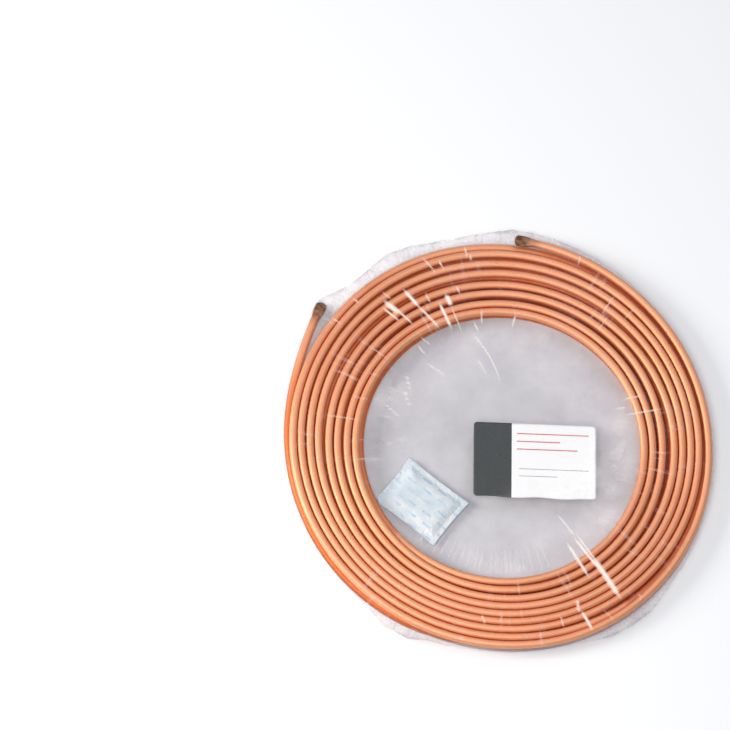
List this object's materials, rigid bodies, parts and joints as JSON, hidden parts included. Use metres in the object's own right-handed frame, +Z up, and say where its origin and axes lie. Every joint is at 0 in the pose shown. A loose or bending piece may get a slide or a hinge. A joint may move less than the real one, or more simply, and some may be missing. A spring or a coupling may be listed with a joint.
{
  "type": "copper tube coil",
  "caption": "Flat two-layer coil of soft copper tube with pinched ends, shrink-wrapped in clear film with a paper label and a desiccant packet.",
  "frame": {"origin": "on the coil's axis, at the film's flat underside where the part rests", "axes": "+Z up along the coil's axis, +X to the right and +Y away from the viewer as the coil lies in the picture; the lower free end points to -X +Y and the upper free end to +Y"},
  "size_m": [0.3564, 0.3654, 0.0135],
  "materials": {
    "copper": "satin drawn copper",
    "film": "clear glossy shrink film",
    "label": "coated white card",
    "packet": "matte breathable paper"
  },
  "bodies": {
    "root": {"copper_tube": "copper", "shrink_film": "film", "paper_label": "label", "desiccant_packet": "packet"}
  },
  "joints": []
}
